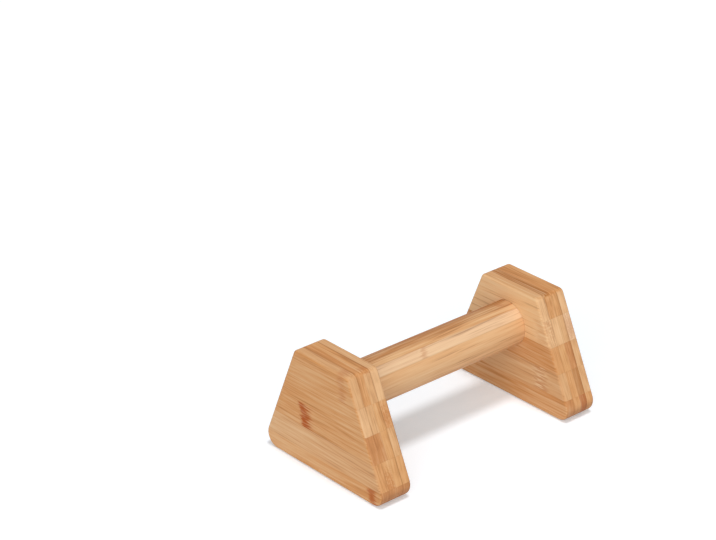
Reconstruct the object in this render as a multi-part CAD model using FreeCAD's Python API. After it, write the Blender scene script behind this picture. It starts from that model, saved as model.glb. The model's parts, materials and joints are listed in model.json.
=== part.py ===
import FreeCAD, Part
import os

# Bamboo parallette: two tapered end plates carry one round grip bar. The plates and the bar are
# glued up from bamboo strips, and each strip is a solid of its own.
# X runs along the bar, Y across the plates and Z up. The origin is on the floor, midway between
# the plates. Lengths are in millimetres.

# Whole object
overall_length = 205.0
bar_axis_height = 59.6

# End plate: a trapezoid, with its corners and then all its arrises rounded over
plate_foot_width = 136.0
plate_top_width = 57.5
plate_top_above_axis = 29.7
foot_corner_radius = 10.0
top_corner_radius = 5.0
arris_radius = 2.0

# Plate lamination: two face layers outside two core layers, each of strips laid edge to edge.
# The strips are placed by the joint under the strip that the bar's axis crosses.
face_layer_thickness = 7.25
core_layer_thickness = 6.35
plate_strip_width = 18.4
left_joint_below_axis = 9.8
right_joint_below_axis = 5.1
narrowest_plate_strip = 3.0

# Grip bar: upright lamellae side by side, all but the outermost of an upper and a lower strip
bar_diameter = 35.0
bar_lamella_thickness = 5.83
thinnest_bar_lamella = 1.5
bar_joint_stagger = 4.0

# Glue round the bar's ends, as the difference between the socket's diameter and the bar's
socket_clearance = 0.2

# How far a cutting tool runs past the solid that it cuts
cut_overrun = 5.0

# Worked out from the sizes above
plate_height = bar_axis_height + plate_top_above_axis
plate_thickness = 2 * (face_layer_thickness + core_layer_thickness)
socket_depth = plate_thickness - face_layer_thickness
bar_length = overall_length - 2 * face_layer_thickness
bar_radius = bar_diameter / 2
left_plate_start = -overall_length / 2
right_plate_start = overall_length / 2 - plate_thickness

along_bar = FreeCAD.Vector(1, 0, 0)
layer_names = ["outer_face", "outer_core", "inner_core", "inner_face"]


def spans(start, joints, end):
    """Neighbouring pairs of the joints, with the two ends moved out by the cutter's overrun."""
    marks = [start - cut_overrun] + joints + [end + cut_overrun]
    return list(zip(marks[:-1], marks[1:]))


def box(x_span, y_span, z_span):
    """A box between two places on each axis."""
    low = FreeCAD.Vector(x_span[0], y_span[0], z_span[0])
    high = FreeCAD.Vector(x_span[1], y_span[1], z_span[1])
    size = high - low
    return Part.makeBox(size.x, size.y, size.z, low)


def is_along_bar(edge):
    """Whether an edge is straight and runs in X."""
    first, last = edge.Vertexes[0].Point, edge.Vertexes[-1].Point
    return (last - first).cross(along_bar).Length < (last - first).Length / 2


def plate_blank(plate_start):
    """The rounded plate, from the X of its left face: corners first, then the outline of both faces."""
    half_foot = plate_foot_width / 2
    half_top = plate_top_width / 2
    corners = [(-half_foot, 0), (half_foot, 0), (half_top, plate_height), (-half_top, plate_height)]
    points = [FreeCAD.Vector(plate_start, y, z) for y, z in corners]
    outline = Part.makePolygon(points + points[:1])
    blank = Part.Face(outline).extrude(along_bar * plate_thickness)
    lower_half = plate_height / 2
    for radius, at_foot in ((foot_corner_radius, True), (top_corner_radius, False)):
        rounded = []
        for edge in blank.Edges:
            if is_along_bar(edge) and (edge.CenterOfMass.z < lower_half) == at_foot:
                rounded.append(edge)
        blank = blank.makeFillet(radius, rounded)
    face_outlines = [edge for edge in blank.Edges if not is_along_bar(edge)]
    return blank.makeFillet(arris_radius, face_outlines)


def round_bar(diameter, start, length):
    """A cylinder on the bar's axis, from an X along it."""
    centre = FreeCAD.Vector(start, 0, bar_axis_height)
    return Part.makeCylinder(diameter / 2, length, centre, along_bar)


def plate_rows(joint_below_axis):
    """A plate's rows of strips by name: height spans, counted down and up from the row at the bar's axis."""
    bar_row_foot = bar_axis_height - joint_below_axis
    steps_down = int((bar_row_foot - narrowest_plate_strip) // plate_strip_width)
    steps_up = int((plate_height - narrowest_plate_strip - bar_row_foot) // plate_strip_width)
    joints = [bar_row_foot + step * plate_strip_width for step in range(-steps_down, steps_up + 1)]
    rows = {}
    for place, span in enumerate(spans(0, joints, plate_height), start=-steps_down - 1):
        if place == 0:
            rows["at_bar"] = span
        else:
            rows[f"above_bar_{place}" if place > 0 else f"below_bar_{-place}"] = span
    return rows


def plate_strips(side, plate_start, socket_start, joint_below_axis, layers):
    """One plate's strips by name: the bored blank cut along its layers and its rows."""
    socket = round_bar(bar_diameter + socket_clearance, socket_start, socket_depth + cut_overrun)
    plate = plate_blank(plate_start).cut(socket)
    first_joint = plate_start + face_layer_thickness
    middle_joint = first_joint + core_layer_thickness
    last_joint = middle_joint + core_layer_thickness
    layer_spans = spans(plate_start, [first_joint, middle_joint, last_joint], plate_start + plate_thickness)
    across = (-plate_foot_width / 2 - cut_overrun, plate_foot_width / 2 + cut_overrun)
    strips = {}
    for layer, layer_span in zip(layers, layer_spans):
        for row, row_span in plate_rows(joint_below_axis).items():
            solids = plate.common(box(layer_span, across, row_span)).Solids
            name = f"{side}_{layer}_strip_{row}"
            if len(solids) == 1:
                strips[name] = solids[0]
            else:
                front, back = sorted(solids, key=lambda solid: solid.CenterOfMass.y)
                strips[name + "_front"] = front
                strips[name + "_back"] = back
    return strips


def bar_strips():
    """The bar's strips by name: the turned bar cut into lamellae, the inner ones cut again at a joint."""
    bar = round_bar(bar_diameter, -bar_length / 2, bar_length)
    along = (-bar_length / 2 - cut_overrun, bar_length / 2 + cut_overrun)
    half_lamella = bar_lamella_thickness / 2
    side_room = bar_radius - half_lamella - thinnest_bar_lamella
    joints_each_side = 1 + int(side_room // bar_lamella_thickness)
    joints = []
    for step in range(-joints_each_side, joints_each_side):
        joints.append(half_lamella + step * bar_lamella_thickness)
    lamella_spans = spans(-bar_radius, joints, bar_radius)
    bottom = bar_axis_height - bar_radius
    top = bar_axis_height + bar_radius
    strips = {}
    for number, lamella_span in enumerate(lamella_spans, start=1):
        outermost = number in (1, len(lamella_spans))
        stagger = bar_joint_stagger if number % 2 else -bar_joint_stagger
        halves = [] if outermost else [bar_axis_height + stagger]
        endings = ["strip"] if outermost else ["lower_strip", "upper_strip"]
        for ending, height_span in zip(endings, spans(bottom, halves, top)):
            strip = bar.common(box(along, lamella_span, height_span))
            strips[f"bar_lamella_{number}_{ending}"] = strip.Solids[0]
    return strips


def build():
    """Every strip of the object, by node name."""
    left_socket_start = left_plate_start + face_layer_thickness
    right_socket_start = right_plate_start - cut_overrun
    strips = plate_strips("left", left_plate_start, left_socket_start, left_joint_below_axis, layer_names)
    right_layers = layer_names[::-1]
    strips.update(
        plate_strips("right", right_plate_start, right_socket_start, right_joint_below_axis, right_layers)
    )
    strips.update(bar_strips())
    return strips


os.makedirs("parts", exist_ok=True)
for name, solid in build().items():
    solid.exportStep(f"parts/{name}.step")
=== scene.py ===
import json
import math

import bpy
from mathutils import Matrix, Vector


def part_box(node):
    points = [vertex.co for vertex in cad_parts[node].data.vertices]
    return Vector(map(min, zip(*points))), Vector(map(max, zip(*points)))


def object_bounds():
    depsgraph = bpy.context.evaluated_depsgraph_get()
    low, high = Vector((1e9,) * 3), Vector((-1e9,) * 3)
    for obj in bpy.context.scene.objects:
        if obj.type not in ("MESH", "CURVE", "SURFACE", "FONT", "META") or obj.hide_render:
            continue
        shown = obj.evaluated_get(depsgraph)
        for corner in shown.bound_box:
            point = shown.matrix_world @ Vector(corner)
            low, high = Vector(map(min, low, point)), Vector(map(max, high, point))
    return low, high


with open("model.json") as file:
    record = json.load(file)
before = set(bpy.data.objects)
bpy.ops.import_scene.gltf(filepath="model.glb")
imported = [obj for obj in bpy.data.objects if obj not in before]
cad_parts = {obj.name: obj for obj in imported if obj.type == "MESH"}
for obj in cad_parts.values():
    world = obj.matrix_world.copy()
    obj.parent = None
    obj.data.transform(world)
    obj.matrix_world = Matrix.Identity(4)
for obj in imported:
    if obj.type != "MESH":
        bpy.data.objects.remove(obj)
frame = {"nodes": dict(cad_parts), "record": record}        # bodies, nodes, joints, record
cad_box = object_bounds()

# Bamboo parallette in a white studio. Every glued strip is a piece of bamboo of its own, with its own
# tone, streaks, bundles and node scar. Metres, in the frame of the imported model.

# Axes by number: along the bar, from front to back, and up
bar_axis, depth_axis, height_axis = 0, 1, 2

# Axes of a strip's grain: along its fibres, up its width, through its thickness
bar_grain = (bar_axis, height_axis, depth_axis)
plate_grain = (depth_axis, height_axis, bar_axis)

# Photograph's camera, found from the object's edges, and the pixel where the object's middle lies
frame_width_px = 716
frame_height_px = 540
focal_length_px = 2448.0
subject_px = (431.86, 373.24)
camera_azimuth = math.radians(-39.81)
camera_elevation = math.radians(26.01)
camera_roll = math.radians(-1.18)
camera_distance = 1.7554
sensor_width_mm = 36.0

# Studio light. Each level is a share of the light at which a colour renders as it is written. A lamp's
# direction is the one from the object towards it, and its spread is how wide it looks from there.
white = "#FFFFFF"
sky_level = 0.34
backdrop_level = 1.0
overhead = {"towards": (0.0, -0.18, 0.98), "spread": math.radians(13), "level": 0.435}
front = {"towards": (-0.72, -0.63, 0.27), "spread": math.radians(70), "level": 0.585}

# Studio floor: half its side, its paint, and the glow that lifts it to white where it is seen directly
floor_half_size = 6.0
floor_paint = "#EDF2F8"
floor_glow = 0.25
floor_glow_tint = "#FBFFFF"

# Bamboo tones, from pale to dark. The record's material slot names the tone of each strip's long sides.
tones = {
    "maize": "#EABA86",
    "cream": "#E3BB93",
    "pale": "#DDAB7A",
    "straw": "#D19B68",
    "honey": "#CF9258",
    "amber": "#CC8C52",
    "tan": "#BF8450",
    "copper": "#BE7940",
    "russet": "#AF6D31",
    "chestnut": "#AA5818",
}

# Colours that a strip's tone runs to in soft pith, dense fibre, a node scar and a glue line
pith_cream = "#F2D6AA"
fibre_brown = "#84491F"
scar_brown = "#AB4F00"
glue_brown = "#7A4622"

# Strips whose top edges or cut ends differ from their broad sides, in a tone of their own or as painted
# shade
top_edge_tones_and_shade = {
    "left_outer_face_strip_above_bar_1": "straw",
    "right_inner_face_strip_above_bar_1": "straw",
    # The bar's two top lamellae are darker on top as painted shade, where the bar turns away from the
    # light
    "bar_lamella_4_upper_strip": "tan",
    "bar_lamella_5_upper_strip": "russet",
}
# The bottom row's darker cut ends are partly their own tone and partly painted shade, where the feet
# turn down to the floor
cut_end_tones_and_shade = {
    "left_outer_face_strip_above_bar_1": "straw",
    "left_outer_face_strip_at_bar": "pale",
    "left_outer_face_strip_below_bar_1": "copper",
    "left_outer_face_strip_below_bar_2": "amber",
    "left_outer_face_strip_below_bar_3": "copper",
    "left_inner_core_strip_above_bar_1": "straw",
    "left_inner_core_strip_below_bar_3": "copper",
    "left_inner_face_strip_above_bar_1": "pale",
    "right_inner_face_strip_above_bar_1": "pale",
    "right_inner_face_strip_at_bar_front": "pale",
    "right_inner_face_strip_at_bar_back": "pale",
    "right_inner_face_strip_below_bar_3": "copper",
    "right_inner_core_strip_above_bar_1": "amber",
    "right_outer_core_strip_above_bar_1": "honey",
    "right_outer_core_strip_below_bar_2": "russet",
    "right_outer_core_strip_below_bar_3": "chestnut",
    "right_outer_face_strip_above_bar_1": "pale",
    "right_outer_face_strip_at_bar": "cream",
    "right_outer_face_strip_below_bar_3": "amber",
}

# Share of pith cream that pales the tone of a plate's top edge, as a painted sheen, and of a cut end
painted_top_sheen = 0.03
end_paleness = 0.12

# How squarely a surface faces an axis where a narrow side begins to show, and where it shows fully
narrow_side_facing = (0.5, 0.85)

# Share of fibre brown painted as shade: on a rounded arris, against the lamps' highlight there, and on a
# rounded foot
painted_arris_shade = 0.11
painted_foot_shade = 0.44

# Halfway round an arris, the squared share of its facing along the bar times the rest reaches this,
# where the painted arris shade is full
arris_shade_peak = 0.25

# Upward share of a foot's facing where the painted shade begins, and where it is full
foot_shade_facing = (0.05, -0.6)

# Sizes of the bamboo's patterns in millimetres: along the fibres, up the strip's width, through it.
# Real bundles and growth lines are about half as wide, too fine to show in a picture of the whole bar.
pattern_sizes = {
    "drift": (120.0, 9.0, 9.0),
    "streak": (42.0, 1.6, 1.6),
    "bundle": (70.0, 1.3, 1.3),
    "growth": (60.0, 14.0, 0.9),
    "dash": (9.0, 1.15, 1.15),
    "squeeze": (50.0, 25.0, 25.0),
}

# Millimetres in those patterns from one strip's piece of culm to the next strip's
culm_step = (83.0, 13.7, 17.9)

# Most that a strip's fibres lean, as a slope
grain_lean = 0.02

# Layers of ever finer noise in the streaks, and in the other patterns
streak_detail = 4.0
plain_detail = 1.0

# Bundles: where the dark core ends and the pale round it begins, in bundle widths, and both shades
bundle_edges = (0.12, 0.40)
bundle_shades = (0.8, 0.3)

# Steps that turn a strip's number into shares of its own, one for each trait
trait_steps = {"lean_up": 0.731, "lean_through": 0.569, "life": 0.139, "skin": 0.291, "scar": 0.618}

# How far each pattern moves a strip's shade, which runs from 0, pith, to 1, fibre
face_gains = {"drift": 0.7, "streak": 1.6, "bundle": 0.55, "skin": 0.4}
end_gains = {"drift": 0.5, "growth": 0.9, "bundle": 0.1, "skin": 0.6}
density_gain = 0.16
middle_shade = 0.52

# Liveliness multiplies those gains: the least that a strip has, the most that its own share adds, and
# a factor each for the plates and the bar
least_life = 0.75
extra_life = 0.6
plate_life = 1.0
bar_life = 1.15

# How far a strip's colours reach from its tone to pith and to fibre, and the shade that is the tone
pith_reach = 0.36
fibre_reach = 0.55
tone_shade = 0.5

# Strips whose denser side, nearer the culm's skin, faces the higher coordinate
dense_side_high = (
    "left_outer_face", "left_inner_core", "left_inner_face",
    "right_inner_face", "right_outer_core", "right_outer_face",
    "bar_lamella_1", "bar_lamella_2", "bar_lamella_3", "bar_lamella_5")

# Dark edge at the skin: its width in millimetres, the layers where it shows in every row, its strength
# there, and the most that it has in any other strip
skin_width = 1.5
dark_skinned = ("left_inner_core", "right_outer_core")
dark_skin = 0.5
plain_skin = 0.3

# Node scars that the photograph shows: place along the fibres, slant, width of the solid part, how far
# it fades out before and after that, strength of its brown and of the pale dashes between. Lengths in
# millimetres. Strips that end before their node have it far out.
plain_scar = (0.1, 1.0, 6.0, 5.0, 0.28, 0.1)
seen_scars = {
    "left_outer_face_strip_above_bar_1": (-22.0, 0.1, 1.0, 6.0, 6.0, 0.3, 0.1),
    "left_outer_face_strip_below_bar_1": (20.5, 0.15, 2.0, 12.0, 4.0, 1.0, 0.1),
    "left_outer_face_strip_below_bar_2": (90.0, *plain_scar),
    "left_outer_face_strip_below_bar_3": (-53.0, 0.2, 2.0, 6.0, 5.0, 0.78, 0.1),
    "right_inner_face_strip_at_bar_front": (-34.0, 0.1, 2.0, 10.0, 8.0, 0.16, 0.35),
    "right_inner_face_strip_below_bar_2": (-34.0, 0.1, 3.0, 10.0, 8.0, 0.26, 0.5),
    "right_inner_face_strip_below_bar_3": (-90.0, *plain_scar),
    "bar_lamella_2_upper_strip": (-20.0, 0.2, 0.5, 4.0, 5.0, 0.3, 0.45),
    "bar_lamella_3_upper_strip": (110.0, *plain_scar),
}

# Millimetres over which the other strips' scars are spread, and by which a scar's edges are ragged
node_spacing = 310.0
scar_rag = 9.0

# How much dashes break up a scar, and how far past their middle its brown begins and is full
scar_break = 1.3
scar_edges = (0.1, 1.0)

# Values of the dash pattern where a pale dash begins, and where it is full
pale_dash_edges = (0.5, 0.38)

# How much of a glue line's brown shows at a joint between rows, between layers and in the bar
row_glue = 0.1
layer_glue = 0.16
bar_glue = 0.2

# Millimetres from a joint to where its glue line ends, and the share of them that is evenly brown
glue_line = 0.45
glue_core = 0.3

# Values of the squeeze pattern where a glue line is faintest and fullest, and what shows of it there
squeeze_edges = (0.35, 0.65)
squeeze_shares = (0.2, 1.0)

# Satin lacquer: its roughness over pith and over fibre, and millimetres by which fibres stand proud
lacquer_roughness = (0.5, 0.64)
lacquer_ior = 1.5
lacquer_specular = 0.22
relief_strength = 0.5
relief_depth = 0.05

# Metres within which two faces lie in one plane, and millimetres to a joint that isn't there
touching = 1e-5
no_joint = 1000.0
mm_per_metre = 1000.0

# Sockets by number: colours and numbers of a mix node, and vectors of a map range node
mix_first, mix_second, mix_result = 6, 7, 2
number_first, number_second = 2, 3
vector_in, vector_from_min, vector_from_max, vector_to_min, vector_to_max = 6, 7, 8, 9, 10


def linear(hex_colour):
    """A linear RGBA colour from an sRGB hex value, by the curve of that standard."""
    curve = []
    for place in (1, 3, 5):
        share = int(hex_colour[place:place + 2], 16) / 255
        curve.append(share / 12.92 if share <= 0.04045 else ((share + 0.055) / 1.055) ** 2.4)
    return (*curve, 1.0)


def blended(first, second, share):
    """A linear colour part of the way from the first to the second."""
    return tuple(a + (b - a) * share for a, b in zip(first, second))


def add(tree, kind, inputs=None, **settings):
    """One node with its settings; an input is a value, or the socket or node that is linked to it."""
    made = tree.nodes.new(kind)
    for name, value in settings.items():
        setattr(made, name, value)
    for place, value in (inputs or {}).items():
        if isinstance(value, bpy.types.Node):
            value = value.outputs[0]
        if isinstance(value, bpy.types.NodeSocket):
            tree.links.new(value, made.inputs[place])
        else:
            made.inputs[place].default_value = value
    return made


def share_of(seed, trait):
    """A share from 0 to 1 that differs from strip to strip and never changes from run to run."""
    return seed * trait_steps[trait] % 1


def joint_corners(strip, order):
    """The strip's two corners in grain millimetres, pushed far out on each side that no strip joins."""
    member = strip.split("_")[0]
    boxes = [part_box(name) for name in frame["nodes"] if name.split("_")[0] == member]
    corners = []
    for end, outermost, outwards in ((0, min, -1), (1, max, 1)):
        corner = []
        for axis in order:
            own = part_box(strip)[end][axis]
            surface = outermost(box[end][axis] for box in boxes)
            joined = axis != order[0] and abs(own - surface) > touching
            corner.append(own * mm_per_metre if joined else outwards * no_joint)
        corners.append(tuple(corner))
    return corners


def culm_patterns(tree, grain, along, seed):
    """The patterns of one culm by name, each drawn out along fibres that lean a little."""
    lean = [(share_of(seed, trait) - 0.5) * 2 * grain_lean for trait in ("lean_up", "lean_through")]
    leaning = add(tree, "ShaderNodeVectorMath", {
        0: along, 1: (0.0, *lean), 2: grain}, operation="MULTIPLY_ADD")
    own_culm = add(tree, "ShaderNodeVectorMath", {
        0: leaning, 1: tuple(seed * step for step in culm_step)}, operation="ADD")
    patterns = {}
    for name, sizes in pattern_sizes.items():
        spot = add(tree, "ShaderNodeVectorMath", {
            0: own_culm, 1: tuple(1 / size for size in sizes)}, operation="MULTIPLY")
        if name == "bundle":
            cell = add(tree, "ShaderNodeTexVoronoi", {"Vector": spot, "Scale": 1.0})
            patterns[name] = add(tree, "ShaderNodeMapRange", {
                "Value": cell,
                "From Min": bundle_edges[0],
                "From Max": bundle_edges[1],
                "To Min": bundle_shades[0],
                "To Max": bundle_shades[1]}, interpolation_type="SMOOTHSTEP")
        else:
            detail = streak_detail if name == "streak" else plain_detail
            patterns[name] = add(tree, "ShaderNodeTexNoise", {
                "Vector": spot, "Scale": 1.0, "Detail": detail})
    return patterns


def shade_of(tree, patterns, gains, density, liveliness):
    """The strip's shade, 0 to 1: its density, and each pattern about its own middle times its gain."""
    middle = sum(gain for name, gain in gains.items() if name != "skin") / 2
    shade = add(tree, "ShaderNodeMath", {
        0: density, 1: middle_shade - middle * liveliness}, operation="ADD")
    for name, gain in gains.items():
        shade = add(tree, "ShaderNodeMath", {
            0: patterns[name], 1: gain * liveliness, 2: shade}, operation="MULTIPLY_ADD")
    return shade


def tone_ramp(tree, shade, tone, paleness_and_sheen):
    """A strip's colours in one tone: near pith at shade 0, the tone itself, near fibre at shade 1."""
    colour = blended(linear(tones[tone]), linear(pith_cream), paleness_and_sheen)
    ramp = add(tree, "ShaderNodeValToRGB", {0: shade})
    ramp.color_ramp.elements[0].color = blended(colour, linear(pith_cream), pith_reach)
    ramp.color_ramp.elements[1].color = blended(colour, linear(fibre_brown), fibre_reach)
    ramp.color_ramp.elements.new(tone_shade).color = colour
    return ramp


def scar_shares(tree, strip, seed, along, up, patterns):
    """How far a node scar's brown and its pale dashes show, in a slanted ragged band that fades out."""
    anywhere = (share_of(seed, "scar") - 0.5) * node_spacing
    scar = seen_scars.get(strip, (anywhere, *plain_scar))
    place, slant, core, before, after, browning, paling = scar
    middle = sum(corner[height_axis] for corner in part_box(strip)) / 2 * mm_per_metre
    from_slant = add(tree, "ShaderNodeMath", {
        0: up, 1: -slant, 2: slant * middle - place - scar_rag / 2}, operation="MULTIPLY_ADD")
    from_scar = add(tree, "ShaderNodeMath", {0: along, 1: from_slant}, operation="ADD")
    ragged = add(tree, "ShaderNodeMath", {
        0: patterns["streak"], 1: scar_rag, 2: from_scar}, operation="MULTIPLY_ADD")
    rise = add(tree, "ShaderNodeMapRange", {
        "Value": ragged, "From Min": -core / 2 - before, "From Max": -core / 2})
    fall = add(tree, "ShaderNodeMapRange", {
        "Value": ragged,
        "From Min": core / 2,
        "From Max": core / 2 + after,
        "To Min": 1.0,
        "To Max": 0.0})
    band = add(tree, "ShaderNodeMath", {0: rise, 1: fall}, operation="MULTIPLY")
    edge = add(tree, "ShaderNodeMath", {
        0: patterns["dash"], 1: scar_break, 2: band}, operation="MULTIPLY_ADD")
    brown = add(tree, "ShaderNodeMapRange", {
        "Value": edge,
        "From Min": scar_break / 2 + scar_edges[0],
        "From Max": scar_break / 2 + scar_edges[1],
        "To Max": browning}, interpolation_type="SMOOTHSTEP")
    between = add(tree, "ShaderNodeMapRange", {
        "Value": patterns["dash"],
        "From Min": pale_dash_edges[0],
        "From Max": pale_dash_edges[1],
        "To Max": paling})
    pale = add(tree, "ShaderNodeMath", {0: band, 1: between}, operation="MULTIPLY")
    return brown, pale


def glue_share(tree, strip, order, grain, patterns):
    """How far a glue line shows: along each joint with a neighbour, coming and going."""
    low_joints, high_joints = joint_corners(strip, order)
    above = add(tree, "ShaderNodeVectorMath", {0: grain, 1: low_joints}, operation="SUBTRACT")
    below = add(tree, "ShaderNodeVectorMath", {0: high_joints, 1: grain}, operation="SUBTRACT")
    gaps = add(tree, "ShaderNodeVectorMath", {0: above, 1: below}, operation="MINIMUM")
    strengths = (0.0, bar_glue, bar_glue) if strip.startswith("bar") else (0.0, row_glue, layer_glue)
    lines = add(tree, "ShaderNodeMapRange", {
        vector_in: gaps,
        vector_from_min: (glue_core * glue_line,) * 3,
        vector_from_max: (glue_line,) * 3,
        vector_to_min: strengths,
        vector_to_max: (0.0, 0.0, 0.0)}, data_type="FLOAT_VECTOR", interpolation_type="SMOOTHSTEP")
    sides = add(tree, "ShaderNodeSeparateXYZ", {0: lines.outputs["Vector"]})
    line = add(tree, "ShaderNodeMath", {
        0: sides.outputs[1], 1: sides.outputs[2]}, operation="MAXIMUM")
    squeeze = add(tree, "ShaderNodeMapRange", {
        "Value": patterns["squeeze"],
        "From Min": squeeze_edges[0],
        "From Max": squeeze_edges[1],
        "To Min": squeeze_shares[0],
        "To Max": squeeze_shares[1]})
    return add(tree, "ShaderNodeMath", {0: line, 1: squeeze}, operation="MULTIPLY")


def bamboo(strip, tone, seed):
    """Laminated bamboo, planed, sanded and satin lacquered.

    The eye sees long soft streaks, fine dark bundles that end as dots on the cut ends, a denser and
    darker side to each strip, a scar of short dashes where a node was planed off, thin glue lines, and
    painted shade that darkens the arrises and the feet where they turn down to the floor.
    """
    material = bpy.data.materials.new(f"lacquered_bamboo_{strip}")
    material.use_nodes = True
    tree = material.node_tree
    tree.nodes.clear()
    on_bar = strip.startswith("bar")
    order = bar_grain if on_bar else plate_grain
    member_life = bar_life if on_bar else plate_life
    liveliness = member_life * (least_life + extra_life * share_of(seed, "life"))

    # Grain coordinates in millimetres: along the fibres, up the strip's width, through its thickness
    place = add(tree, "ShaderNodeTexCoord")
    in_mm = add(tree, "ShaderNodeVectorMath", {
        0: place.outputs["Object"], 1: (mm_per_metre,) * 3}, operation="MULTIPLY")
    axes = add(tree, "ShaderNodeSeparateXYZ", {0: in_mm})
    along, up, through = (axes.outputs[axis] for axis in order)
    grain = add(tree, "ShaderNodeCombineXYZ", {0: along, 1: up, 2: through})
    patterns = culm_patterns(tree, grain, along, seed)

    # Dense side: one side of the strip was nearer the culm's skin, and is darker right at its edge
    low, high = (corner[order[2]] * mm_per_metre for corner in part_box(strip))
    pith_edge, skin_edge = (low, high) if strip.startswith(dense_side_high) else (high, low)
    skin_start = skin_edge + (skin_width if skin_edge < pith_edge else -skin_width)
    own_skin = plain_skin * share_of(seed, "skin")
    skin_share = dark_skin if strip.startswith(dark_skinned) else own_skin
    density = add(tree, "ShaderNodeMapRange", {
        "Value": through,
        "From Min": pith_edge,
        "From Max": skin_edge,
        "To Min": -density_gain / 2,
        "To Max": density_gain / 2})
    patterns["skin"] = add(tree, "ShaderNodeMapRange", {
        "Value": through, "From Min": skin_start, "From Max": skin_edge, "To Max": skin_share})

    # Narrow sides: where the surface faces up or down, and where the strip was cut across
    facing = add(tree, "ShaderNodeSeparateXYZ", {0: place.outputs["Normal"]})
    narrow = []
    for axis in (height_axis, order[0]):
        turned = add(tree, "ShaderNodeMath", {0: facing.outputs[axis]}, operation="ABSOLUTE")
        narrow.append(add(tree, "ShaderNodeMapRange", {
            "Value": turned,
            "From Min": narrow_side_facing[0],
            "From Max": narrow_side_facing[1]}, interpolation_type="SMOOTHSTEP"))
    top_edge, cut_end = narrow

    # Rounded arrises: painted shade, darker there to dim the highlight that the lamps give them
    sideways = facing.outputs[bar_axis]
    across = add(tree, "ShaderNodeMath", {0: sideways, 1: sideways}, operation="MULTIPLY")
    beside = add(tree, "ShaderNodeMath", {0: 1.0, 1: across}, operation="SUBTRACT")
    rounding = add(tree, "ShaderNodeMath", {0: across, 1: beside}, operation="MULTIPLY")
    arris_shade = add(tree, "ShaderNodeMapRange", {
        "Value": rounding, "From Max": arris_shade_peak, "To Max": painted_arris_shade})

    # Rounded feet: painted shade, darker where they turn down to the floor
    floorward_shade = add(tree, "ShaderNodeMapRange", {
        "Value": facing.outputs[height_axis],
        "From Min": foot_shade_facing[0],
        "From Max": foot_shade_facing[1],
        "To Max": painted_foot_shade})
    foot_shade = add(tree, "ShaderNodeMath", {0: floorward_shade, 1: cut_end}, operation="MULTIPLY")

    # One shade for the long sides and one with the growth lines for the cut ends
    shade = add(tree, "ShaderNodeMix", {
        0: cut_end,
        number_first: shade_of(tree, patterns, face_gains, density, liveliness),
        number_second: shade_of(tree, patterns, end_gains, density, liveliness)})

    # Over the long sides' tone come the narrow sides' tones, partly painted shade, the node scar, the
    # glue, and painted shade on arrises and feet
    end_tone_and_shade = cut_end_tones_and_shade.get(strip, tone)
    edge_tone_and_shade = top_edge_tones_and_shade.get(strip, tone)
    # Plate tops are paled a little as a painted sheen; the bar's tops are not
    top_edge_sheen = 0.0 if on_bar else painted_top_sheen
    brown, pale = scar_shares(tree, strip, seed, along, up, patterns)
    glue = glue_share(tree, strip, order, grain, patterns)
    layers = (
        (top_edge, tone_ramp(tree, shade, edge_tone_and_shade, top_edge_sheen)),
        (cut_end, tone_ramp(tree, shade, end_tone_and_shade, end_paleness)),
        (brown, linear(scar_brown)),
        (pale, linear(pith_cream)),
        (glue, linear(glue_brown)),
        (arris_shade, linear(fibre_brown)),
        (foot_shade, linear(fibre_brown)),
    )
    colour = tone_ramp(tree, shade, tone, 0.0)
    for share, layer in layers:
        mixed = add(tree, "ShaderNodeMix", {
            0: share, mix_first: colour, mix_second: layer}, data_type="RGBA")
        colour = mixed.outputs[mix_result]

    # Satin lacquer over fibres that stand a little proud
    relief = add(tree, "ShaderNodeBump", {
        "Height": shade, "Strength": relief_strength, "Distance": relief_depth / mm_per_metre})
    gloss = add(tree, "ShaderNodeMapRange", {
        "Value": shade, "To Min": lacquer_roughness[0], "To Max": lacquer_roughness[1]})
    lacquer = add(tree, "ShaderNodeBsdfPrincipled", {
        "Base Color": colour,
        "Roughness": gloss,
        "IOR": lacquer_ior,
        "Specular IOR Level": lacquer_specular,
        "Normal": relief})
    add(tree, "ShaderNodeOutputMaterial", {0: lacquer})
    return material


def dress_strips():
    """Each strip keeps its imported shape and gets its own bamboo, in the tone that its slot names."""
    slots = {row["node"]: row["material_slot"] for row in frame["record"]["subparts"]}
    for seed, strip in enumerate(sorted(slots)):
        tone = slots[strip].removeprefix("bamboo_")
        frame["nodes"][strip].material_slots[0].material = bamboo(strip, tone, seed)


def seen_directly(tree):
    """A node that is 1 for rays that show the backdrop: from the camera, a gloss or a clear piece."""
    rays = add(tree, "ShaderNodeLightPath")
    shown = add(tree, "ShaderNodeMath", {
        0: rays.outputs["Is Camera Ray"], 1: rays.outputs["Is Glossy Ray"]}, operation="MAXIMUM")
    return add(tree, "ShaderNodeMath", {
        0: shown, 1: rays.outputs["Is Transmission Ray"]}, operation="MAXIMUM")


def studio_floor():
    """Matt white paint, lifted to plain white where it is seen directly, which keeps the shadow."""
    half = floor_half_size
    corners = [(-half, -half, 0), (half, -half, 0), (half, half, 0), (-half, half, 0)]
    mesh = bpy.data.meshes.new("studio_floor")
    mesh.from_pydata(corners, [], [(0, 1, 2, 3)])
    material = bpy.data.materials.new("matt_white_paint")
    material.use_nodes = True
    tree = material.node_tree
    tree.nodes.clear()
    paint = add(tree, "ShaderNodeBsdfDiffuse", {"Color": linear(floor_paint)})
    glow = add(tree, "ShaderNodeEmission", {"Color": linear(floor_glow_tint), "Strength": floor_glow})
    lifted = add(tree, "ShaderNodeAddShader", {0: paint, 1: glow})
    mixed = add(tree, "ShaderNodeMixShader", {0: seen_directly(tree), 1: paint, 2: lifted})
    add(tree, "ShaderNodeOutputMaterial", {0: mixed})
    mesh.materials.append(material)
    floor = bpy.data.objects.new("studio_floor", mesh)
    bpy.context.scene.collection.objects.link(floor)


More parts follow.
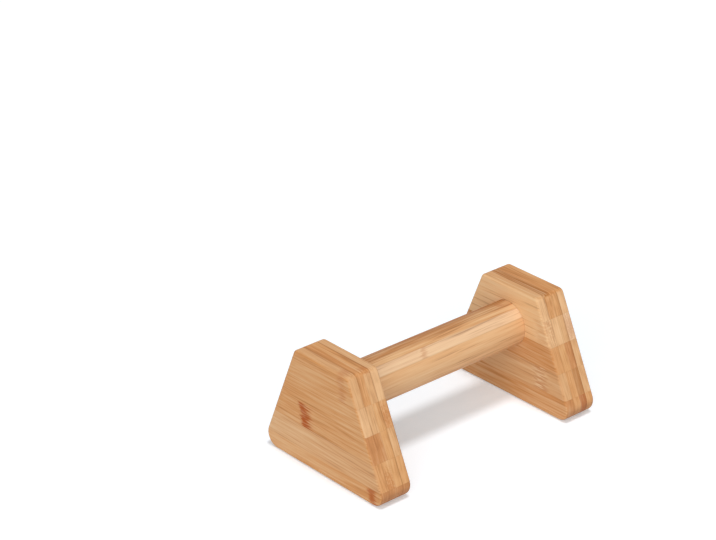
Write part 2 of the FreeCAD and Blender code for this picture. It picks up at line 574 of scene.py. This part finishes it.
def studio_light():
    """A pale sky, white where it is seen directly, a soft lamp overhead and a broad one in front."""
    world = bpy.data.worlds.new("studio_sky")
    bpy.context.scene.world = world
    world.use_nodes = True
    tree = world.node_tree
    tree.nodes.clear()
    lighting = add(tree, "ShaderNodeBackground", {"Color": linear(white), "Strength": sky_level})
    backdrop = add(tree, "ShaderNodeBackground", {"Color": linear(white), "Strength": backdrop_level})
    mixed = add(tree, "ShaderNodeMixShader", {0: seen_directly(tree), 1: lighting, 2: backdrop})
    add(tree, "ShaderNodeOutputWorld", {0: mixed})
    for name, lamp in (("overhead_lamp", overhead), ("front_lamp", front)):
        light = bpy.data.lights.new(name, "SUN")
        # A sun of strength pi shows a colour that faces it as it is written
        light.energy = lamp["level"] * math.pi
        light.angle = lamp["spread"]
        holder = bpy.data.objects.new(name, light)
        holder.rotation_euler = Vector(lamp["towards"]).to_track_quat("Z", "Y").to_euler()
        bpy.context.scene.collection.objects.link(holder)


def studio_camera():
    """The camera at the photograph's angle, with the object's middle on its pixel of the photograph."""
    low, high = (Vector(corner) for corner in cad_box)
    level = math.cos(camera_elevation)
    back = Vector((
        math.sin(camera_azimuth) * level, -math.cos(camera_azimuth) * level, math.sin(camera_elevation)))
    right = Vector((math.cos(camera_azimuth), math.sin(camera_azimuth), 0))
    up = back.cross(right)
    rolled_right = right * math.cos(camera_roll) + up * math.sin(camera_roll)
    rolled_up = up * math.cos(camera_roll) - right * math.sin(camera_roll)
    metres_per_px = camera_distance / focal_length_px
    sideways = (subject_px[0] - frame_width_px / 2) * metres_per_px
    upwards = (frame_height_px / 2 - subject_px[1]) * metres_per_px
    stand = (low + high) / 2 + back * camera_distance - rolled_right * sideways - rolled_up * upwards
    lens = bpy.data.cameras.new("photo_camera")
    lens.sensor_width = sensor_width_mm
    lens.lens = focal_length_px / frame_width_px * sensor_width_mm
    camera = bpy.data.objects.new("photo_camera", lens)
    turn = Matrix((rolled_right, rolled_up, back)).transposed()
    camera.matrix_world = Matrix.Translation(stand) @ turn.to_4x4()
    bpy.context.scene.collection.objects.link(camera)
    bpy.context.scene.camera = camera


dress_strips()
studio_floor()
studio_light()
studio_camera()
bpy.context.scene.view_settings.view_transform = "Standard"
